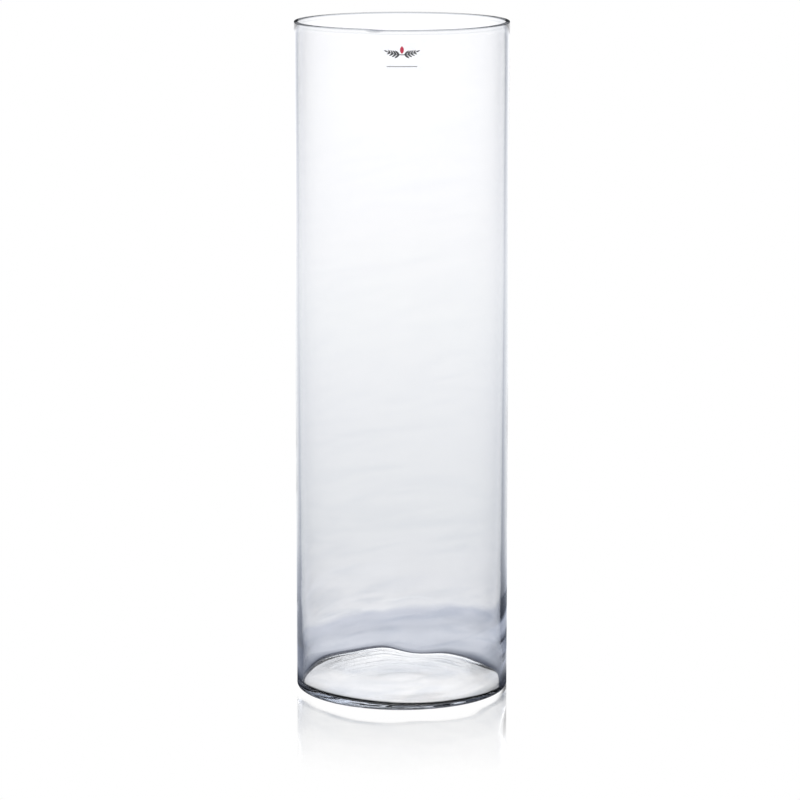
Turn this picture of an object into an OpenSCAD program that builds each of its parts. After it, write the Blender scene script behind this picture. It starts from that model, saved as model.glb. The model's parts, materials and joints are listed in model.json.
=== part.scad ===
// Glass cylinder vase.
// A tall blown-glass cylinder, open at the top and empty, that stands on a narrow ring around a
// slightly hollow underside. A small clear film label is stuck high on its front, which faces -Y.
// The origin is the centre of the plane that the vase stands on, and +Z is up. Millimetres.

/* [Glass cylinder] */
// Height from the standing plane to the top of the rim
vase_h = 600; // [300:5:800]
// Outer diameter of the straight wall
vase_d = 190; // [150:1:240]
// Thickness of the wall
wall_t = 4; // [3.5:0.5:8]
// Height of the inside floor above the standing plane
floor_z = 4.5; // [4:0.5:12]

/* [Rim and foot] */
// Radius of the fire-polished edges on both sides of the rim
lip_r = 1.2; // [0.4:0.1:1.6]
// Radius of the outer corner where the wall turns in under the floor
heel_r = 1.5; // [1:0.5:6]
// Radius of the inner corner between the wall and the floor
corner_r = 6.5; // [3:0.5:16]
// Width of the flat ring that the vase stands on
stand_ring_w = 7; // [4:0.5:15]
// Rise of the hollow in the middle of the underside
punt_rise = 1.5; // [0.5:0.1:3]

/* [Label] */
// Width of the clear film
film_w = 40; // [38:1:60]
// Height of the clear film
film_h = 30; // [28:1:50]
// Radius of the film's corners
film_corner_r = 4; // [1:0.5:8]
// Depth of the middle of the print below the rim
label_drop = 22; // [20:1:100]
// Thickness of the adhesive coat
adhesive_t = 0.1; // [0.05:0.05:0.2]
// Thickness of the film
film_t = 0.15; // [0.1:0.05:0.3]
// Thickness of the ink
ink_t = 0.1; // [0.05:0.05:0.2]

/* [Print] */
// Radius of the arc that the garland's stem follows
stem_arc_r = 32; // [26:1:36]
// Angle between the stem's middle and each of its tips
stem_reach = 23; // [14:1:24]
// Width of the stem
stem_w = 0.7; // [0.4:0.1:1.2]
// Number of leaf pairs along each half of the stem
leaf_pairs = 4; // [2:1:4]
// Length of the leaves nearest the middle
leaf_l = 5.5; // [3:0.5:6]
// Width of the leaves nearest the middle
leaf_w = 1.6; // [1:0.1:2]
// Length of the flower bud over the stem's middle
bud_l = 6.5; // [4:0.5:8]
// Width of the flower bud
bud_w = 3.4; // [2:0.1:4]
// Length of the rule under the garland
rule_l = 26; // [12:1:32]
// Height of the rule
rule_h = 0.7; // [0.4:0.1:1.2]

/* [Hidden] */
$fn = 96;

vase_r = vase_d / 2;
inner_r = vase_r - wall_t;
corner_top_z = floor_z + corner_r;

// The hollow under the floor is the top of a large sphere.
hollow_r = vase_r - heel_r - stand_ring_w;
hollow_sphere_r = (hollow_r * hollow_r + punt_rise * punt_rise) / (2 * punt_rise);

label_z = vase_h - label_drop;
adhesive_r = vase_r + adhesive_t;
film_r = adhesive_r + film_t;
ink_r = film_r + ink_t;

// Heights on the label, from its middle up, and the garland's proportions.
stem_lift = 0.5;
bud_gap = 0.5;
rule_lift = -9.6;
first_leaf_turn = 4;
leaf_lean = 40;
leaf_shrink = 0.45;
tip_leaf_size = 0.7;

// The outline of a leaf: two arcs that meet in points at (0, 0) and (length, 0).
module lens(length, width) {
    arc_r = (length * length + width * width) / (4 * width);
    intersection() {
        translate([length / 2, width / 2 - arc_r])
            circle(r = arc_r);
        translate([length / 2, arc_r - width / 2])
            circle(r = arc_r);
    }
}

// A rectangle with round corners, centred on the origin.
module rounded_patch(width, height, corner) {
    square([width - 2 * corner, height], center = true);
    square([width, height - 2 * corner], center = true);
    for (side_x = [-1, 1], side_y = [-1, 1])
        translate([side_x * (width / 2 - corner), side_y * (height / 2 - corner)])
            circle(r = corner);
}

// Moves a flat drawing's children along the stem, turn degrees round its arc from the middle. The
// children's +x then points along the stem, towards its right tip.
module on_stem(turn) {
    translate([0, stem_lift + stem_arc_r])
        rotate(turn)
            translate([0, -stem_arc_r])
                children();
}

// The garland's stem: a band along an arc that curves up from its middle to both tips.
module stem_outline() {
    reach_x = 2 * stem_arc_r * sin(stem_reach);
    reach_y = 2 * stem_arc_r * cos(stem_reach);
    translate([0, stem_lift + stem_arc_r])
        intersection() {
            difference() {
                circle(r = stem_arc_r + stem_w / 2);
                circle(r = stem_arc_r - stem_w / 2);
            }
            polygon([[0, 0], [-reach_x, -reach_y], [reach_x, -reach_y]]);
        }
}

// The leaves on the right half of the stem: pairs that get smaller outwards, and one at the tip.
module leaves_outline() {
    for (pair = [0 : leaf_pairs - 1]) {
        turn = first_leaf_turn + (stem_reach - first_leaf_turn) * pair / leaf_pairs;
        size = 1 - leaf_shrink * pair / leaf_pairs;
        for (side = [-1, 1])
            on_stem(turn)
                rotate(side * leaf_lean)
                    translate([-stem_w / 2, 0])
                        lens(leaf_l * size, leaf_w * size);
    }
    on_stem(stem_reach)
        translate([-stem_w, 0])
            lens(leaf_l * tip_leaf_size, leaf_w * tip_leaf_size);
}

// The garland: the stem, with the same leaves on both halves.
module garland_outline() {
    stem_outline();
    leaves_outline();
    mirror([1, 0])
        leaves_outline();
}

// A closed bud that stands upright over the stem's middle, clear of it by a narrow gap.
module bud_outline() {
    translate([0, stem_lift + stem_w / 2 + bud_gap])
        rotate(90)
            lens(bud_l, bud_w);
}

// A plain unbroken rule.
module rule_outline() {
    translate([0, rule_lift])
        square([rule_l, rule_h], center = true);
}

// A layer on the front of the wall, from radius under_r out to radius over_r, in the outline of the
// flat drawing in its children. The drawing's +x is the vase's +X and its +y is +Z.
module wrapped_layer(under_r, over_r) {
    intersection() {
        translate([0, 0, label_z - film_h])
            difference() {
                cylinder(r = over_r, h = 2 * film_h);
                translate([0, 0, -1])
                    cylinder(r = under_r, h = 2 * film_h + 2);
            }
        translate([0, 0, label_z])
            rotate([90, 0, 0])
                linear_extrude(height = over_r + 1)
                    children();
    }
}

// Half of the outside of the foot, with its round heel, as high as the inner corner reaches.
module foot_outside() {
    square([vase_r - heel_r, corner_top_z]);
    translate([0, heel_r])
        square([vase_r, corner_top_z - heel_r]);
    translate([vase_r - heel_r, heel_r])
        circle(r = heel_r);
}

// Half of the hollow inside the foot, with its round inner corner.
module foot_inside() {
    translate([0, floor_z])
        square([inner_r - corner_r, 2 * corner_r]);
    translate([0, corner_top_z])
        square([inner_r, corner_r]);
    translate([inner_r - corner_r, corner_top_z])
        circle(r = corner_r);
}

// The section of the wall and the rim, with a narrow flat between its two round edges.
module wall_section() {
    translate([inner_r, corner_top_z])
        square([wall_t, vase_h - lip_r - corner_top_z]);
    translate([inner_r + lip_r, vase_h - 2 * lip_r])
        square([wall_t - 2 * lip_r, 2 * lip_r]);
    for (edge_x = [inner_r + lip_r, vase_r - lip_r])
        translate([edge_x, vase_h - lip_r])
            circle(r = lip_r);
}

// The blown glass: wall, rim, heel and floor in one piece.
module vessel() {
    color("lightcyan", 0.35)
        rotate_extrude($fn = 180) {
            difference() {
                foot_outside();
                foot_inside();
                translate([0, punt_rise - hollow_sphere_r])
                    circle(r = hollow_sphere_r, $fn = 1440);
                translate([-vase_r, 0])
                    square([vase_r, corner_top_z]);
            }
            wall_section();
        }
}

// The clear coat that holds the label on the glass.
module label_adhesive() {
    color("ghostwhite", 0.3)
        wrapped_layer(vase_r, adhesive_r)
            rounded_patch(film_w, film_h, film_corner_r);
}

// The clear film that carries the print.
module label_film() {
    color("white", 0.3)
        wrapped_layer(adhesive_r, film_r)
            rounded_patch(film_w, film_h, film_corner_r);
}

// The leafy garland, in dark ink.
module print_garland() {
    color("darkslategray")
        wrapped_layer(film_r, ink_r)
            garland_outline();
}

// The flower bud, in red ink.
module print_bud() {
    color("crimson")
        wrapped_layer(film_r, ink_r)
            bud_outline();
}

// The rule under the garland, in grey ink.
module print_rule() {
    color("dimgray")
        wrapped_layer(film_r, ink_r)
            rule_outline();
}

vessel();
label_adhesive();
label_film();
print_garland();
print_bud();
print_rule();
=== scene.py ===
import json
import math

import bpy
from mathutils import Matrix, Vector, noise


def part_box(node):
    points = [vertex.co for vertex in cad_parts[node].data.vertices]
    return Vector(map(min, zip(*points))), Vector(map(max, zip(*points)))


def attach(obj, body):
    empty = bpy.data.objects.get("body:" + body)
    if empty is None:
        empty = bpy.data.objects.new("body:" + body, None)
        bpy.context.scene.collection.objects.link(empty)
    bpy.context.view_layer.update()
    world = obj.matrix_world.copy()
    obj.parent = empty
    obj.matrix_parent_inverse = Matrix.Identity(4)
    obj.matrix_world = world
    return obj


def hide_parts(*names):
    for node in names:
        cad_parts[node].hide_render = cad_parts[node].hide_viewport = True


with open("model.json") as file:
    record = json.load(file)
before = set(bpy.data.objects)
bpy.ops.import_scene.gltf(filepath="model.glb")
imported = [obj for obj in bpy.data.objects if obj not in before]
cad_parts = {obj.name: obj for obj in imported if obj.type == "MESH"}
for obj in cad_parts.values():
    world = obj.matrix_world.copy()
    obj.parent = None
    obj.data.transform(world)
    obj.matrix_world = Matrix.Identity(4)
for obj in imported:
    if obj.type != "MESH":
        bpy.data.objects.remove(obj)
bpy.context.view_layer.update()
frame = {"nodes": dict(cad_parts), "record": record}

# A glass cylinder vase in a plain white studio. Lengths are in metres. East is +X, the right of the picture,
# and north is +Y, the back. Angles round the vase run from east in degrees, so the back is at 90 and the
# front, which has the label, is at 270.

# ---------------------------------------------------------------- the frame's own numbers
MM = 0.001
MOUNTS = {mount["name"]: mount for mount in frame["record"]["mounts"]}
VESSEL_LOW, VESSEL_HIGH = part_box("vessel")
FILM_LOW, FILM_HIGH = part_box("label_film")
WALL_R = min(-VESSEL_LOW.x, VESSEL_HIGH.x, -VESSEL_LOW.y, VESSEL_HIGH.y)
MOUTH_R = MOUNTS["mouth"]["dims"]["r_mm"] * MM
HEIGHT = VESSEL_HIGH.z

# ---------------------------------------------------------------- camera
# From a perspective fit of the vase's outlines.
CAMERA_PLACE = Vector((0.0, -3.0877, 0.8548))
CAMERA_PITCH = 0.19005
CAMERA_YAW = 0.00055
CAMERA_LENS = 158.03
CAMERA_SENSOR = 36.0
CAMERA_REACH = 100.0

# ---------------------------------------------------------------- the glass's section
HEEL_R = 1.5 * MM
LIP_R = 1.2 * MM
HOLLOW_R = 86.5 * MM
PUNT_RISE = 1.5 * MM
# Below this height the rings of the inner wall lie closer together.
FOOT_TOP = 45.0 * MM

SEGMENTS = 320
HOLLOW_STEPS = 24
HEEL_STEPS = 12
OUTER_STEPS = 49
LIP_STEPS = 8
INNER_STEPS = 84
FOOT_STEPS = 30
CORNER_STEPS = 24
FLOOR_STEPS = 40

# ---------------------------------------------------------------- how blown glass is uneven
# Each kind of unevenness has a seed, which moves it to its own place in the noise by so many steps.
(RIPPLE_SEED, DRIFT_SEED, RIM_SEED, SWIRL_SEED, RINGS_SEED,
 RUN_SEED, SKIN_SEED, GATHER_SEED, RISE_SEED) = range(1, 10)
SEED_STEP = (17.3, -9.1, 5.7)

# The wall is thinnest at the rim and settles to more glass at the foot, more so on the right.
WALL_AT_RIM = 3.6 * MM
WALL_SETTLE = 1.0 * MM
RIGHT_AT_RIM = 0.2 * MM
RIGHT_SETTLE = 0.4 * MM
# Low on the wall, a slanting line where a second gather of glass ends, over twice the height GATHER_SOFT.
GATHER_STEP = 0.6 * MM
GATHER_HEIGHT = 47.0 * MM
GATHER_TILT = 10.0 * MM
GATHER_WAVE = 4.0 * MM
GATHER_TURNS = 1.2
GATHER_SOFT = 15.0 * MM
# Ripples that are strongest low on the back, and a slow drift everywhere.
RIPPLE_FRONT = 0.3 * MM
RIPPLE_BACK = 1.5 * MM
RIPPLE_FADE = 70.0 * MM
RIPPLE_PITCH = 25.0 * MM
RIPPLE_TURNS = 1.3
DRIFT = 0.12 * MM
DRIFT_PITCH = 120.0 * MM
# The outer surface lies this deep inside the CAD wall on average, and waves by as much.
SKIN_DEPTH = 0.05 * MM
SKIN_PITCH = 100.0 * MM
SKIN_TURNS = 1.5

# Swells round the vase: how much in mm, the angle where it is highest, and its reach to each side.
FOOT_BULGE = 0.3 * MM
FOOT_BULGES = ((0.7, 270, 100), (2.0, 78, 34), (2.0, 45, 30), (1.0, 135, 45))
BULGE_TOP = 5.0 * MM
BULGE_FADE = 7.0 * MM
THIN_RIGHT = ((1.5, 350, 80),)
THIN_FROM = 70.0 * MM
THIN_TO = 20.0 * MM
# A thick and a thin place in the front wall that bend the view of the floor's far edge.
FRONT_LENS = ((1.1, 279, 20), (-0.5, 258, 22))
LENS_RISE = (45.0 * MM, 72.0 * MM)
LENS_FALL = (175.0 * MM, 75.0 * MM)

# The inner corner: how far it runs in over the floor, and how far it rises up the wall.
CORNER_RUN = 2.3 * MM
CORNER_RUNS = ((5.0, 262, 95), (3.5, 135, 55), (3.5, 45, 40), (1.5, 90, 60), (-1.1, 355, 50))
RUN_WAVE = 0.3 * MM
CORNER_RISE = 2.2 * MM
CORNER_RISES = ((5.0, 262, 95), (1.6, 135, 55), (0.8, 45, 40), (-0.8, 355, 50))
RISE_WAVE = 0.2 * MM
CORNER_TURNS = 1.4

# The floor: tilted up to the back left, dipped towards the front, with a faint swirl and rings.
FLOOR_LEVEL = 4.2 * MM
FLOOR_TILT = 0.6 * MM
FLOOR_DIPS = ((1.7, 298, 95), (0.9, 274, 38))
SWIRL = 0.08 * MM
SWIRL_PITCH = 30.0 * MM
RINGS = 0.03 * MM
RINGS_PITCH = 24.0 * MM
RINGS_SWAY = 2.0
RINGS_SWAY_PITCH = 50.0 * MM
RINGS_START = 20.0 * MM
# The powers of the distance from the axis with which the dips grow, and the corner's level takes over.
DIP_POWER = 3
EDGE_POWER = 8

# The rim dips a little everywhere, and more on the front and right: the extra dip grows over the first pair
# of angles and fades from the second angle of the other pair to its first.
RIM_DIP = 0.12 * MM
RIM_DIP_RIGHT = 0.6 * MM
RIM_DIP_START = (248, 260)
RIM_DIP_END = (360, 300)
RIM_WAVE = 0.15 * MM
RIM_TURNS = 1.3
# The wall's rings follow the rim's dips from this height up, in full after this much more.
FOLLOW_FROM = 0.5
FOLLOW_OVER = 0.1

# ---------------------------------------------------------------- the glass's colour, with painted shade at the rim
GLASS_IOR = 1.5
GLASS_DEPTH_COLOUR = (0.12, 0.155, 0.22)
GLASS_DENSITY = 10.0
# Slanting cords in the tint, mostly low on the wall. CORD_RAMP runs over a noise, and CORD_HEIGHTS over Z.
CORD_COLOUR = (0.84, 0.86, 0.89)
CORD_SLANT = 0.16
CORD_SQUEEZE = 6.0
CORD_NOISE = {"Scale": 11.0, "Detail": 3.0, "Roughness": 0.45, "Distortion": 0.6}
CORD_RAMP = ((0.34, 1.0), (0.46, 0.25), (0.52, 0.0), (0.60, 0.0), (0.70, 0.5))
CORD_HEIGHTS = ((0.0, 1.0), (0.055, 1.0), (0.08, 0.25), (0.20, 0.10), (0.6, 0.04))
# The rim's polished edges look darker, so painted shade darkens the glass's colour there. The ramp runs over
# the depth below the rim, as a share of its reach.
RIM_SHADE = (0.42, 0.44, 0.48)
RIM_SHADE_REACH = 5.0 * MM
RIM_SHADE_RAMP = ((0.0, 0.8), (0.18, 0.8), (0.30, 0.1), (0.60, 0.0), (0.70, 0.15), (0.82, 0.15), (0.95, 0.0))
# A faint streak at the front of the rim and two tiny seeds: centre and half size in mm, and depth of colour.
STAIN_COLOUR = (0.10, 0.12, 0.17)
STAIN_CORE = 0.35
STAINS = (
    ((-24.0, -92.0, 599.0), (14.0, 4.0, 3.0), 0.60),
    ((-77.0, -55.6, 317.0), (0.7, 0.7, 0.9), 0.60),
    ((-12.7, -94.1, 297.0), (0.6, 0.6, 0.8), 0.60),
)

# ---------------------------------------------------------------- label
FILM_ROWS = 48
FILM_COLUMNS = 32
FILM_CORNER_R = 4.0 * MM
FILM_GAP = 0.02 * MM
# Low, because the real film is glued on, so there is no air behind it to reflect.
FILM_IOR = 1.15
FILM_NOISE = {"Scale": 160.0, "Detail": 2.0}
FILM_RAMP = ((0.35, (0.985, 0.988, 0.99)), (0.6, (1.0, 1.0, 1.0)))
# The CAD node of each ink, its slot, and its darkest and lightest colours.
INKS = (
    ("print_garland", "ink_dark", (0.012, 0.013, 0.016), (0.03, 0.032, 0.038)),
    ("print_bud", "ink_red", (0.42, 0.012, 0.045), (0.60, 0.03, 0.08)),
    ("print_rule", "ink_grey", (0.16, 0.165, 0.18), (0.24, 0.245, 0.26)),
)
INK_NOISE = {"Scale": 900.0, "Detail": 3.0}
INK_FROM = 0.3
INK_TO = 0.7
INK_ROUGHNESS = (0.42, 0.62)
INK_BUMP = 0.15
INK_BUMP_HEIGHT = 0.02 * MM

# ---------------------------------------------------------------- studio floor
STUDIO_RADII = (0.5, 2.0, 8.0, 40.0)
STUDIO_SEGMENTS = 96
STUDIO_DROP = 0.2 * MM
NEAR_REACH = 0.4
FAR_REACH = 8.0
# Up to this distance from the axis, the glass sees the near floor, and beyond it the far floor.
NEAR_END = 0.38
# What the glass sees of the floor: distance from the axis, and colour. Under the vase it is bright, a
# painted pool of light. A dark ring round the foot is a painted contact shadow, and behind it a soft grey
# ring is the vase's painted shadow.
BEHIND_GLOW_AND_SHADOWS = (
    (0.0, (1.3, 1.3, 1.32)), (0.087, (1.3, 1.3, 1.32)), (0.0905, (0.08, 0.09, 0.12)),
    (0.100, (0.12, 0.13, 0.17)), (0.112, (0.47, 0.50, 0.57)), (0.122, (0.68, 0.71, 0.79)),
    (0.142, (0.76, 0.79, 0.87)), (0.17, (0.76, 0.79, 0.87)), (0.20, (0.70, 0.73, 0.81)),
    (0.245, (0.74, 0.77, 0.86)), (0.270, (0.99, 1.00, 1.03)), (0.30, (0.95, 0.96, 0.99)),
    (0.4, (0.94, 0.95, 0.98)),
)
# In front: painted light under the vase, and a darker painted contact shadow round the foot, as from light
# behind.
FRONT_GLOW_AND_SHADOW = (
    (0.0, (1.3, 1.3, 1.32)), (0.068, (1.3, 1.3, 1.32)), (0.078, 0.85), (0.081, 0.50), (0.083, 0.02),
    (0.106, 0.02), (0.14, 0.5), (0.30, 0.9),
)
# Farther out, painted light: the floor grows softly brighter with distance.
FAR_GLOW = (
    (0.0, (0.94, 0.95, 0.98)), (0.345, (0.94, 0.95, 0.98)), (0.66, (0.93, 0.945, 0.965)),
    (1.36, (1.0, 1.01, 1.03)), (2.0, (1.06, 1.07, 1.08)), (2.8, (1.12, 1.12, 1.13)),
    (3.3, (1.15, 1.15, 1.16)), (5.0, (1.21, 1.21, 1.22)), (7.0, (1.21, 1.21, 1.23)),
)
# Where the front floor gives way to the back one, over the north part of the direction from the axis.
IN_FRONT = ((-0.4, 1.0), (-0.1, 0.0))
# Behind the foot, the distance that the painted shadow rings are read at sways, is less to the east, and is
# scaled to make up for the sway. It starts at RING_START. Nearer than that, it is only a little less at the
# sides.
RING_START = 0.125
RING_SWAY = 0.34
RING_LEAN = -0.42
RING_SCALE = 0.87
SIDE_NARROWING = -0.055
SWAY_NOISE = {"Scale": 14.0, "Detail": 1.0}
# How bright the floor is in mirror images inside the glass, from 0, dark at the sides, to 1, bright all
# round, over the distance from the axis.
STUDIO_OPENNESS = ((0.25, 0.0), (0.6, 0.3), (1.5, 0.50), (2.4, 0.58), (3.3, 0.40), (5.0, 0.14), (7.5, 0.05))
# How bright it is in mirror images on the outside of the glass.
OUTER_NEAR = ((0.10, 1.0), (0.16, 0.80), (0.21, 0.62), (0.25, 0.50), (0.38, 0.6))
OUTER_FAR = ((0.38, 0.6), (0.6, 1.0))
# On the right the floor has painted light and shade, lighter gaps and darker bands between them, for the
# crescents on the wall's edge.
ON_RIGHT = ((0.0, 0.0), (0.16, 1.0))
GAPS = (
    (0.096, 0.0), (0.10, 1.0), (0.158, 1.0), (0.166, 0.0),
    (0.235, 0.0), (0.25, 1.0), (0.285, 1.0), (0.30, 0.0),
)
BANDS = (
    (0.163, 0.0), (0.173, 1.0), (0.225, 1.0), (0.235, 0.0),
    (0.30, 0.0), (0.315, 1.0), (0.38, 1.0), (0.395, 0.0),
)
GAP_OUTER = 0.4
GAP_OPENNESS = 0.5
BAND_OUTER = 0.45
# The floor's gloss, which only the camera sees: how much there is over the distance from the axis. The
# distance counts more to the east and west, and sways by up to GLOSS_SWAY.
GLOSS_ROUGHNESS = 0.02
GLOSS_STRETCH = (1.35, 1.0, 1.0)
GLOSS_SWAY = 0.035
GLOSS_RAMP = (
    (0.148, 0.0), (0.151, 0.85), (0.155, 0.85), (0.160, 0.48), (0.19, 0.45), (0.23, 0.22), (0.31, 0.0),
)

# ---------------------------------------------------------------- how the studio looks through glass
# In mirror images inside the glass, how bright the studio is over the north part of the direction, and how
# much less so to the east.
BACK_ONLY = ((-1.0, 0.30), (0.0, 0.12), (0.84, 0.08), (0.93, 0.4), (0.98, 1.0))
EAST_DIMMING = -0.12
# In mirror images on its outside, how bright the studio is at the sides, and how much more at the back.
OUTER_LEVEL = 0.55
OUTER_GAIN = 0.45
# What is dim is tinted with this.
DIM_TINT = (0.85, 0.95, 1.17)
WHITE = (1.0, 1.0, 1.0)

# ---------------------------------------------------------------- studio world
# What the glass sees of the world, over the upward part of the direction. Once is after fewer than three
# passes into or out of glass, and twice is after three or more.
SKY_ONCE = ((0.0, 1.5), (0.25, 1.4), (0.45, 0.1))
SKY_TWICE = ((0.0, 1.5), (0.5, 1.5))
# The same in mirror images, and in light that the wall has guided along by three or more reflections.
MIRRORED_ONCE = ((0.0, 0.10), (0.15, 0.10), (0.19, 1.6))
MIRRORED_TWICE = ((0.0, 0.9), (0.45, 0.9), (0.60, 1.7))
GUIDED = ((0.0, 0.10), (0.15, 0.10), (0.19, (5.4, 5.3, 5.1)), (0.35, (5.4, 5.3, 5.1)))
# Guided light comes mostly from straight behind. Elsewhere most of it is this dim.
GUIDED_FROM = ((0.6, 0.25), (0.94, 1.0))
GUIDED_DIM = (0.1, 0.1, 0.1)
SKY_OPENNESS = ((0.14, 0.0), (0.20, 0.4), (0.31, 0.4), (0.38, 1.0))
OUTER_SKY = 0.64
OUTER_SKY_TWICE = 0.1

# ---------------------------------------------------------------- light paths through thick glass
BOUNCES = 32
GLASS_BOUNCES = 28
MIRROR_BOUNCES = 16


def make_camera():
    data = bpy.data.cameras.new("camera")
    data.lens = CAMERA_LENS
    data.sensor_width = CAMERA_SENSOR
    data.clip_end = CAMERA_REACH
    camera = bpy.data.objects.new("camera", data)
    camera.location = CAMERA_PLACE
    camera.rotation_euler = (math.pi / 2 - CAMERA_PITCH, 0.0, CAMERA_YAW)
    bpy.context.collection.objects.link(camera)
    bpy.context.scene.camera = camera


def make_piece(name, points, faces):
    """A new object with a mesh of its own, both called name."""
    mesh = bpy.data.meshes.new(name)
    mesh.from_pydata(points, [], faces)
    mesh.validate()
    piece = bpy.data.objects.new(name, mesh)
    bpy.context.collection.objects.link(piece)
    return piece


# ================================================================ the vessel's shape

def blend(value, start, end):
    """0 at start and 1 at end, smooth between them and flat past both. Start may be above end."""
    share = min(1.0, max(0.0, (value - start) / (end - start)))
    return share * share * (3.0 - 2.0 * share)


def waves(x, y, z, seed):
    """Smooth noise from -1 to 1 at a place, different for each seed."""
    place = [value + seed * step for value, step in zip((x, y, z), SEED_STEP)]
    return noise.noise(Vector(place))


def round_noise(angle, along, seed, turns=1.0, pitch=1.0):
    """Smooth noise on a cylinder: it closes on itself round the axis."""
    return waves(turns * math.cos(angle), turns * math.sin(angle), along / pitch, seed)


def swells(angle, parts):
    """The sum of smooth bumps round the vase. A part is its height in mm, the angle where it is highest, and
    its reach to each side."""
    total = 0.0
    for height, centre, reach in parts:
        away = abs((math.degrees(angle) - centre + 180.0) % 360.0 - 180.0)
        if away < reach:
            total += height * (0.5 + 0.5 * math.cos(math.pi * away / reach))
    return total * MM


def gather_thickness(angle, z):
    wave = GATHER_WAVE * round_noise(angle, 0.0, GATHER_SEED, GATHER_TURNS)
    line = GATHER_HEIGHT + GATHER_TILT * math.cos(angle) + wave
    return GATHER_STEP * blend(z, line + GATHER_SOFT, line - GATHER_SOFT)


def ripple_thickness(angle, z):
    at_back = 0.5 + 0.5 * math.sin(angle)
    strength = (RIPPLE_FRONT + (RIPPLE_BACK - RIPPLE_FRONT) * at_back) * math.exp(-z / RIPPLE_FADE)
    return strength * round_noise(angle, z, RIPPLE_SEED, RIPPLE_TURNS, RIPPLE_PITCH)


def foot_thickness(angle, z):
    """Extra glass low on the wall, where it runs into the floor."""
    fade = math.exp(-max(0.0, z - BULGE_TOP) / BULGE_FADE)
    return (FOOT_BULGE + swells(angle, FOOT_BULGES)) * fade


def wall_thickness(angle, z):
    low = 1.0 - z / HEIGHT
    settled = WALL_AT_RIM + WALL_SETTLE * low
    on_right = (RIGHT_AT_RIM + RIGHT_SETTLE * low) * math.cos(angle)
    thinned = swells(angle, THIN_RIGHT) * blend(z, THIN_FROM, THIN_TO)
    lens = swells(angle, FRONT_LENS) * blend(z, *LENS_RISE) * blend(z, *LENS_FALL)
    drift = DRIFT * round_noise(angle, z, DRIFT_SEED, pitch=DRIFT_PITCH)
    even = settled + on_right - thinned + lens + drift
    return even + gather_thickness(angle, z) + ripple_thickness(angle, z) + foot_thickness(angle, z)


def rim_drop(angle):
    """How far the rim lies below the full height."""
    turn = math.degrees(angle)
    front_right = blend(turn, *RIM_DIP_START) * blend(turn, *RIM_DIP_END)
    return RIM_DIP + RIM_DIP_RIGHT * front_right + RIM_WAVE * round_noise(angle, 0.0, RIM_SEED, RIM_TURNS)


def floor_level(angle, radius):
    x = radius * math.cos(angle)
    y = radius * math.sin(angle)
    swirl = waves(x / SWIRL_PITCH, y / SWIRL_PITCH, 0.0, SWIRL_SEED)
    sway = waves(x / RINGS_SWAY_PITCH, y / RINGS_SWAY_PITCH, 0.0, RINGS_SEED)
    rings = math.sin(2 * math.pi * radius / RINGS_PITCH + RINGS_SWAY * sway)
    rings *= min(1.0, radius / RINGS_START)
    tilt = FLOOR_TILT * (y - x) / WALL_R
    dip = swells(angle, FLOOR_DIPS) * (radius / MOUTH_R) ** DIP_POWER
    return FLOOR_LEVEL + tilt - dip + SWIRL * swirl + RINGS * rings


def corner_run(angle):
    """How far the inner corner reaches in over the floor."""
    wave = RUN_WAVE * round_noise(angle, 0.0, RUN_SEED, CORNER_TURNS)
    return CORNER_RUN + swells(angle, CORNER_RUNS) + wave


def corner_rise(angle):
    """How far the inner corner reaches up the wall."""
    wave = RISE_WAVE * round_noise(angle, 0.0, RISE_SEED, CORNER_TURNS)
    return CORNER_RISE + swells(angle, CORNER_RISES) + wave


def arc(centre_r, centre_z, radius, start, end, steps):
    """Points of a section on an arc from start to end, in degrees."""
    turns = [math.radians(start + (end - start) * i / steps) for i in range(steps + 1)]
    return [(centre_r + radius * math.cos(turn), centre_z + radius * math.sin(turn)) for turn in turns]


def following(z, drop):
    """A height on the wall, moved down with the rim above it."""
    return z - drop * max(0.0, (z - FOLLOW_FROM) / FOLLOW_OVER)


def outside_section(angle, top, drop):
    """From the underside's middle out, round the heel, up the wall and over the rim's outer edge."""
    points = []
    for i in range(1, HOLLOW_STEPS + 1):
        radius = HOLLOW_R * i / HOLLOW_STEPS
        points.append((radius, PUNT_RISE * (1 - (radius / HOLLOW_R) ** 2)))
    points += arc(WALL_R - HEEL_R, HEEL_R, HEEL_R, -90, 0, HEEL_STEPS)
    for i in range(1, OUTER_STEPS):
        z = HEEL_R + (top - HEEL_R) * i / OUTER_STEPS
        skin = SKIN_DEPTH * (1 + round_noise(angle, z, SKIN_SEED, SKIN_TURNS, SKIN_PITCH))
        points.append((WALL_R - skin, following(z, drop)))
    points += [(r, z - drop) for r, z in arc(WALL_R - LIP_R, top, LIP_R, 0, 90, LIP_STEPS)]
    return points


def inside_section(angle, top, drop):
    """From the rim's inner edge down the wall, round the inner corner and in to near the floor's middle."""
    run = corner_run(angle)
    rise = corner_rise(angle)
    level = floor_level(angle, MOUTH_R - run)
    low = level + rise
    lip_centre = WALL_R - wall_thickness(angle, HEIGHT) + LIP_R
    points = [(r, z - drop) for r, z in arc(lip_centre, top, LIP_R, 90, 180, LIP_STEPS)]
    for first, last, steps in ((top, FOOT_TOP, INNER_STEPS), (FOOT_TOP, low, FOOT_STEPS)):
        for i in range(1, steps + 1):
            z = following(first + (last - first) * i / steps, drop)
            points.append((WALL_R - wall_thickness(angle, z), z))
    corner_r = WALL_R - wall_thickness(angle, low)
    for i in range(1, CORNER_STEPS + 1):
        turn = math.pi / 2 * i / CORNER_STEPS
        points.append((corner_r - run * (1 - math.cos(turn)), level + rise * (1 - math.sin(turn))))
    for i in range(1, FLOOR_STEPS):
        share = 1 - i / FLOOR_STEPS
        radius = (corner_r - run) * share
        edge = share ** EDGE_POWER
        points.append((radius, floor_level(angle, radius) * (1 - edge) + level * edge))
    return points


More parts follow.
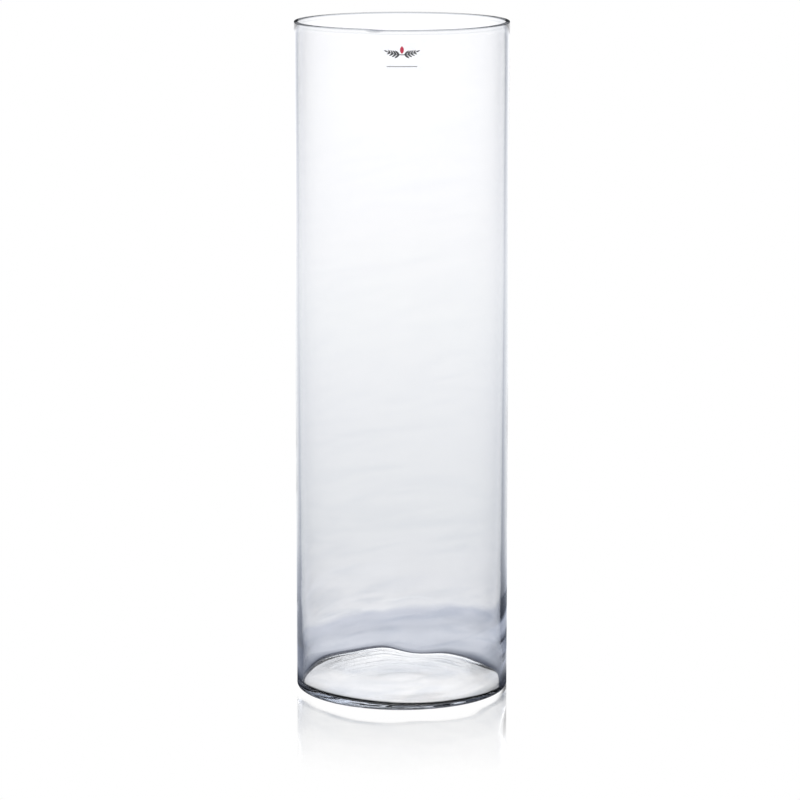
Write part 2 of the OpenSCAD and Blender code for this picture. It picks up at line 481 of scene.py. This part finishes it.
def make_vessel():
    """The glass as one closed mesh: a ring of points for each point of its section, and a point on the axis
    at both ends."""
    angles = [2 * math.pi * i / SEGMENTS for i in range(SEGMENTS)]
    drops = [rim_drop(angle) for angle in angles]
    top = HEIGHT - LIP_R
    sections = [outside_section(angle, top, drop) + inside_section(angle, top, drop)
                for angle, drop in zip(angles, drops)]
    rings = list(zip(*sections))
    points = [(0.0, 0.0, PUNT_RISE)]
    for ring in rings:
        points += [(r * math.cos(angle), r * math.sin(angle), z) for angle, (r, z) in zip(angles, ring)]
    points.append((0.0, 0.0, floor_level(0.0, 0.0)))

    after = [(k + 1) % SEGMENTS for k in range(SEGMENTS)]
    faces = [(0, 1 + j, 1 + k) for k, j in enumerate(after)]
    for ring in range(len(rings) - 1):
        a = 1 + ring * SEGMENTS
        b = a + SEGMENTS
        faces += [(a + k, a + j, b + j, b + k) for k, j in enumerate(after)]
    last = 1 + (len(rings) - 1) * SEGMENTS
    faces += [(last + k, last + j, len(points) - 1) for k, j in enumerate(after)]

    vessel = make_piece("vessel_glass", points, faces)
    vessel.data.shade_smooth()
    below_rim = vessel.data.attributes.new("below_rim", "FLOAT", "POINT")
    for i, vertex in enumerate(vessel.data.vertices):
        below_rim.data[i].value = HEIGHT - drops[(i - 1) % SEGMENTS] - vertex.co.z
    vessel.data.materials.append(glass_material())
    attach(vessel, "root")
    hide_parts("vessel")


# ================================================================ node trees

def rgba(colour):
    """A brightness or a colour as a colour with alpha."""
    if isinstance(colour, float):
        colour = (colour, colour, colour)
    return (*colour, 1.0)


class Net:
    """A node tree, with short ways to add a node and get what it gives."""

    def __init__(self, tree):
        self.nodes = tree.nodes
        self.links = tree.links

    def feed(self, socket, value):
        """Links a node's output to the socket, or sets the socket's own value."""
        if isinstance(value, bpy.types.NodeSocket):
            self.links.new(value, socket)
        else:
            socket.default_value = value

    def node(self, kind, inputs, **settings):
        """A new shader node with these settings and inputs. An input goes by its name or number."""
        node = self.nodes.new("ShaderNode" + kind)
        for name, value in settings.items():
            setattr(node, name, value)
        for name, value in inputs.items():
            self.feed(node.inputs[name], value)
        return node

    def math(self, operation, a, b, clamp=False):
        return self.node("Math", {0: a, 1: b}, operation=operation, use_clamp=clamp).outputs["Value"]

    def vector(self, operation, a, b):
        return self.node("VectorMath", {0: a, 1: b}, operation=operation).outputs["Vector"]

    def length(self, vector):
        return self.node("VectorMath", {0: vector}, operation="LENGTH").outputs["Value"]

    def parts(self, vector):
        """The X, Y and Z of a vector."""
        return self.node("SeparateXYZ", {0: vector}).outputs

    def cloud(self, place, inputs):
        """Noise at a place."""
        return self.node("TexNoise", {"Vector": place, **inputs}).outputs["Fac"]

    def ramp(self, source, stops):
        """Brightness or colour over a source that runs from 0 to 1. A stop is a place and what is there."""
        node = self.node("ValToRGB", {"Fac": source})
        elements = node.color_ramp.elements
        while len(elements) > 1:
            elements.remove(elements[-1])
        elements[0].position = stops[0][0]
        elements[0].color = rgba(stops[0][1])
        for place, colour in stops[1:]:
            elements.new(place).color = rgba(colour)
        return node.outputs["Color"]

    def over_distance(self, distance, reach, stops):
        """A ramp over a distance, up to reach."""
        share = self.math("DIVIDE", distance, reach, clamp=True)
        return self.ramp(share, [(place / reach, colour) for place, colour in stops])

    def over_way(self, way, stops):
        """A ramp over one part of a direction, which runs from -1 to 1."""
        share = self.node("Math", {0: way, 1: 0.5, 2: 0.5}, operation="MULTIPLY_ADD").outputs["Value"]
        return self.ramp(share, [(0.5 + 0.5 * place, colour) for place, colour in stops])

    def mix(self, factor, when_off, when_on):
        """A number that is when_off where factor is 0, and when_on where it is 1."""
        return self.node("Mix", {"Factor": factor, "A": when_off, "B": when_on}).outputs["Result"]

    def mix_colour(self, factor, when_off, when_on):
        """The same with colours."""
        ends = [rgba(end) if isinstance(end, tuple) else end for end in (when_off, when_on)]
        inputs = {"Factor": factor, "A": ends[0], "B": ends[1]}
        return self.node("Mix", inputs, data_type="RGBA").outputs["Result"]


def new_material(name):
    material = bpy.data.materials.new(name)
    material.use_nodes = True
    return material, Net(material.node_tree)


# ================================================================ glass

def stain(net, place, centre, half_size):
    """1 in the middle of an ellipsoid in the glass, falling smoothly to 0 at its surface."""
    offset = net.vector("SUBTRACT", place, [value * MM for value in centre])
    share = net.length(net.vector("DIVIDE", offset, [value * MM for value in half_size]))
    inputs = {"Value": share, "From Min": STAIN_CORE, "To Min": 1.0, "To Max": 0.0}
    return net.node("MapRange", inputs, interpolation_type="SMOOTHSTEP").outputs["Result"]


def cord_share(net, place):
    """How much of the cords' colour there is: in slanting streaks, and more low on the wall."""
    x, y, z = net.parts(place)
    level = net.math("SUBTRACT", z, net.math("MULTIPLY", x, CORD_SLANT))
    squeezed = net.math("MULTIPLY", level, CORD_SQUEEZE)
    slanted = net.node("CombineXYZ", {"X": x, "Y": y, "Z": squeezed}).outputs["Vector"]
    streaks = net.ramp(net.cloud(slanted, CORD_NOISE), CORD_RAMP)
    return net.math("MULTIPLY", streaks, net.ramp(z, CORD_HEIGHTS))


def glass_tint_and_rim_shade(net):
    """The glass's colour: nearly clear, with cords and a few stains, and painted shade that makes the rim
    darker.
    """
    place = net.node("TexCoord", {}).outputs["Object"]
    colour = net.mix_colour(cord_share(net, place), WHITE, CORD_COLOUR)
    below_rim = net.node("Attribute", {}, attribute_name="below_rim").outputs["Fac"]
    # Painted shade: the glass's colour is drawn darker near the rim.
    rim = net.ramp(net.math("DIVIDE", below_rim, RIM_SHADE_REACH), RIM_SHADE_RAMP)
    colour = net.mix_colour(rim, colour, RIM_SHADE)
    for centre, half_size, depth in STAINS:
        spot = net.math("MULTIPLY", stain(net, place, centre, half_size), depth)
        colour = net.mix_colour(spot, colour, STAIN_COLOUR)
    return colour


def clear_shader(net, ior, tint):
    """Sets the tree's shader to a smooth clear material."""
    shader = net.nodes["Principled BSDF"]
    shader.inputs["Transmission Weight"].default_value = 1.0
    shader.inputs["IOR"].default_value = ior
    shader.inputs["Roughness"].default_value = 0.0
    net.feed(shader.inputs["Base Color"], tint)


def glass_material():
    material, net = new_material("clear_glass")
    clear_shader(net, GLASS_IOR, glass_tint_and_rim_shade(net))
    inputs = {"Color": rgba(GLASS_DEPTH_COLOUR), "Density": GLASS_DENSITY}
    volume = net.node("VolumeAbsorption", inputs).outputs["Volume"]
    net.feed(net.nodes["Material Output"].inputs["Volume"], volume)
    return material


# ================================================================ label

def film_material():
    material, net = new_material("film_clear")
    place = net.node("TexCoord", {}).outputs["Object"]
    clear_shader(net, FILM_IOR, net.ramp(net.cloud(place, FILM_NOISE), FILM_RAMP))
    return material


def film_points(radius):
    """Points on the wall in rows from the film's bottom to its top. The rows are shorter at its round
    corners."""
    half_width = (FILM_HIGH.x - FILM_LOW.x) / 2
    half_height = (FILM_HIGH.z - FILM_LOW.z) / 2
    middle = (FILM_LOW.z + FILM_HIGH.z) / 2
    points = []
    for row in range(FILM_ROWS + 1):
        rise = -half_height * math.cos(math.pi * row / FILM_ROWS)
        past = max(0.0, abs(rise) - (half_height - FILM_CORNER_R))
        width = half_width - FILM_CORNER_R + math.sqrt(max(0.0, FILM_CORNER_R ** 2 - past ** 2))
        for column in range(FILM_COLUMNS + 1):
            across = width * (2.0 * column / FILM_COLUMNS - 1.0)
            points.append((across, -math.sqrt(radius ** 2 - across ** 2), middle + rise))
    return points


def make_film():
    """The label's clear film with its coat of adhesive: one thin sheet with round corners on the wall."""
    back = film_points(WALL_R + FILM_GAP)
    front = film_points(-FILM_LOW.y)
    per_row = FILM_COLUMNS + 1
    faces = []
    for row in range(FILM_ROWS):
        for column in range(FILM_COLUMNS):
            a = row * per_row + column
            b = a + per_row
            faces.append((a, b, b + 1, a + 1))
            faces.append(tuple(len(back) + corner for corner in (a, a + 1, b + 1, b)))
    edge = list(range(per_row))
    edge += [row * per_row + FILM_COLUMNS for row in range(1, FILM_ROWS + 1)]
    edge += [FILM_ROWS * per_row + column for column in range(FILM_COLUMNS - 1, -1, -1)]
    edge += [row * per_row for row in range(FILM_ROWS - 1, 0, -1)]
    for a, b in zip(edge, edge[1:] + edge[:1]):
        faces.append((a, b, len(back) + b, len(back) + a))
    film = make_piece("label_sheet", back + front, faces)
    film.data.materials.append(film_material())
    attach(film, "root")
    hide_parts("label_film", "label_adhesive")


def ink_material(name, dark, light):
    """Printed ink: a little uneven in colour, with a fine tooth."""
    material, net = new_material(name)
    shader = net.nodes["Principled BSDF"]
    cloud = net.cloud(net.node("TexCoord", {}).outputs["Object"], INK_NOISE)
    net.feed(shader.inputs["Base Color"], net.ramp(cloud, [(INK_FROM, dark), (INK_TO, light)]))
    rough, rougher = INK_ROUGHNESS
    net.feed(shader.inputs["Roughness"], net.ramp(cloud, [(INK_FROM, rough), (INK_TO, rougher)]))
    bump = net.node("Bump", {"Strength": INK_BUMP, "Distance": INK_BUMP_HEIGHT, "Height": cloud})
    net.feed(shader.inputs["Normal"], bump.outputs["Normal"])
    return material


def ink_prints():
    """The inks are the CAD's own solids, which get ink materials."""
    for node, name, dark, light in INKS:
        material = ink_material(name, dark, light)
        piece = frame["nodes"][node]
        for place in piece.material_slots:
            place.link = "OBJECT"
            place.material = material


# ================================================================ studio

def compass(net, place):
    """East and north parts, each from -1 to 1, of the level direction from the axis to place."""
    level = net.vector("MULTIPLY", place, (1.0, 1.0, 0.0))
    unit = net.node("VectorMath", {0: level}, operation="NORMALIZE").outputs["Vector"]
    east, north, _ = net.parts(unit)
    return east, north


def at_least(net, path, depth, count):
    """1 where the light path has this depth or more, and 0 elsewhere."""
    return net.math("GREATER_THAN", path.outputs[depth], count - 0.5)


def as_seen(net, path, colour, east, north, openness, outer_level):
    """Plain white where the camera looks straight at the studio. Through clear glass it is colour. In mirror
    images inside the glass only the part behind the vase is bright: the sides are dark, less so where
    openness is high. Mirror images on the outside are as bright as outer_level, and dimmer in front."""
    mirrored = at_least(net, path, "Glossy Depth", 1)
    inside = at_least(net, path, "Transmission Depth", 1)
    dimming = net.math("MULTIPLY", east, EAST_DIMMING)
    back_only = net.math("ADD", net.over_way(north, BACK_ONLY), dimming, clamp=True)
    inner = net.mix(openness, back_only, 1.0)
    outer = net.math("ADD", net.math("MULTIPLY", north, OUTER_GAIN), OUTER_LEVEL, clamp=True)
    outer = net.math("MULTIPLY", outer, outer_level)
    share = net.mix(mirrored, 1.0, net.mix(inside, outer, inner))
    scaled = net.node("VectorMath", {0: colour, "Scale": share}, operation="SCALE").outputs["Vector"]
    tinted = net.vector("MULTIPLY", scaled, net.mix_colour(share, DIM_TINT, WHITE))
    return net.mix_colour(path.outputs["Is Singular Ray"], WHITE, tinted)


def floor_glow_and_shadows(net, distance, east, north, sway):
    """The floor's colour as the glass sees it: painted light under the vase, painted shadow rings round the
    foot, and painted light that rises softly far away.
    """
    swayed = net.math("ADD", distance, net.math("MULTIPLY", net.math("MULTIPLY", sway, distance), RING_SWAY))
    leaned = net.math("MULTIPLY", net.math("MULTIPLY", east, distance), RING_LEAN)
    bent = net.math("MULTIPLY", net.math("ADD", swayed, leaned), RING_SCALE)
    bent = net.math("MAXIMUM", bent, RING_START)
    sideways = net.math("MULTIPLY", net.math("MULTIPLY", east, east), SIDE_NARROWING)
    narrowed = net.math("MULTIPLY", net.math("ADD", sideways, 1.0), distance)
    past_foot = net.math("GREATER_THAN", distance, RING_START)
    behind = net.over_distance(net.mix(past_foot, narrowed, bent), NEAR_REACH, BEHIND_GLOW_AND_SHADOWS)
    front = net.over_distance(narrowed, NEAR_REACH, FRONT_GLOW_AND_SHADOW)
    near = net.mix_colour(net.over_way(north, IN_FRONT), behind, front)
    far = net.over_distance(distance, FAR_REACH, FAR_GLOW)
    return net.mix_colour(net.math("GREATER_THAN", distance, NEAR_END), near, far)


def floor_mirror_levels(net, distance, east):
    """How open the floor is in mirror images inside the glass, and how bright in those on its outside, with
    painted light and shade in gaps and bands on the right.
    """
    openness = net.over_distance(distance, FAR_REACH, STUDIO_OPENNESS)
    outer_near = net.over_distance(distance, NEAR_REACH, OUTER_NEAR)
    outer_far = net.over_distance(distance, FAR_REACH, OUTER_FAR)
    outer = net.mix_colour(net.math("GREATER_THAN", distance, NEAR_END), outer_near, outer_far)
    on_right = net.over_way(east, ON_RIGHT)
    # Painted light in the gaps and painted shade in the bands, on the right.
    gap = net.math("MULTIPLY", net.over_distance(distance, NEAR_REACH, GAPS), on_right)
    band = net.math("MULTIPLY", net.over_distance(distance, NEAR_REACH, BANDS), on_right)
    outer = net.math("ADD", outer, net.math("MULTIPLY", gap, GAP_OUTER))
    outer = net.math("SUBTRACT", outer, net.math("MULTIPLY", band, BAND_OUTER))
    openness = net.math("ADD", openness, net.math("MULTIPLY", gap, GAP_OPENNESS))
    return openness, outer


def gloss_share(net, path, place, sway):
    """How much of the floor is gloss, where the camera sees it directly."""
    reach = net.length(net.vector("MULTIPLY", place, GLOSS_STRETCH))
    swayed = net.math("ADD", reach, net.math("MULTIPLY", sway, GLOSS_SWAY))
    return net.math("MULTIPLY", net.ramp(swayed, GLOSS_RAMP), path.outputs["Is Camera Ray"])


def floor_material():
    material, net = new_material("studio_floor")
    net.nodes.remove(net.nodes["Principled BSDF"])
    path = net.node("LightPath", {})
    place = net.node("NewGeometry", {}).outputs["Position"]
    distance = net.length(place)
    east, north = compass(net, place)
    sway = net.cloud(place, SWAY_NOISE)
    colour = floor_glow_and_shadows(net, distance, east, north, sway)
    openness, outer = floor_mirror_levels(net, distance, east)
    seen = as_seen(net, path, colour, east, north, openness, outer)
    glow = net.node("Emission", {"Color": seen}).outputs["Emission"]
    gloss_inputs = {"Color": rgba(WHITE), "Roughness": GLOSS_ROUGHNESS}
    gloss = net.node("BsdfGlossy", gloss_inputs).outputs["BSDF"]
    both = net.node("MixShader", {"Fac": gloss_share(net, path, place, sway), 1: glow, 2: gloss})
    net.feed(net.nodes["Material Output"].inputs["Surface"], both.outputs["Shader"])
    return material


def make_floor():
    """A round floor, just below the plane that the vase stands on."""
    turns = [2 * math.pi * k / STUDIO_SEGMENTS for k in range(STUDIO_SEGMENTS)]
    after = [(k + 1) % STUDIO_SEGMENTS for k in range(STUDIO_SEGMENTS)]
    points = [(0.0, 0.0, 0.0)]
    for radius in STUDIO_RADII:
        points += [(radius * math.cos(turn), radius * math.sin(turn), 0.0) for turn in turns]
    faces = [(0, 1 + k, 1 + j) for k, j in enumerate(after)]
    for ring in range(len(STUDIO_RADII) - 1):
        a = 1 + ring * STUDIO_SEGMENTS
        b = a + STUDIO_SEGMENTS
        faces += [(a + k, b + k, b + j, a + j) for k, j in enumerate(after)]
    floor = make_piece("studio_floor", points, faces)
    floor.location.z = -STUDIO_DROP
    floor.data.materials.append(floor_material())


def sky_colour(net, path, height, north):
    """The world's colour as the glass sees it, over the upward part of the direction."""
    mirrored = at_least(net, path, "Glossy Depth", 1)
    guided = at_least(net, path, "Glossy Depth", 3)
    deep = at_least(net, path, "Transmission Depth", 3)
    direct = net.mix_colour(deep, net.ramp(height, SKY_ONCE), net.ramp(height, SKY_TWICE))
    guided_light = net.mix_colour(net.over_way(north, GUIDED_FROM), GUIDED_DIM, net.ramp(height, GUIDED))
    once = net.mix_colour(guided, net.ramp(height, MIRRORED_ONCE), guided_light)
    image = net.mix_colour(deep, once, net.ramp(height, MIRRORED_TWICE))
    return net.mix_colour(mirrored, direct, image)


def make_world():
    world = bpy.data.worlds.new("studio")
    world.use_nodes = True
    net = Net(world.node_tree)
    path = net.node("LightPath", {})
    direction = net.node("TexCoord", {}).outputs["Generated"]
    height = net.parts(direction)["Z"]
    east, north = compass(net, direction)
    colour = sky_colour(net, path, height, north)
    openness = net.ramp(height, SKY_OPENNESS)
    outer = net.mix(at_least(net, path, "Glossy Depth", 2), OUTER_SKY, OUTER_SKY_TWICE)
    seen = as_seen(net, path, colour, east, north, openness, outer)
    net.feed(net.nodes["Background"].inputs["Color"], seen)
    bpy.context.scene.world = world


def main():
    scene = bpy.context.scene
    scene.view_settings.view_transform = "Standard"
    scene.cycles.max_bounces = BOUNCES
    scene.cycles.transmission_bounces = GLASS_BOUNCES
    scene.cycles.glossy_bounces = MIRROR_BOUNCES
    scene.cycles.transparent_max_bounces = MIRROR_BOUNCES
    make_camera()
    make_vessel()
    make_film()
    ink_prints()
    make_floor()
    make_world()


main()
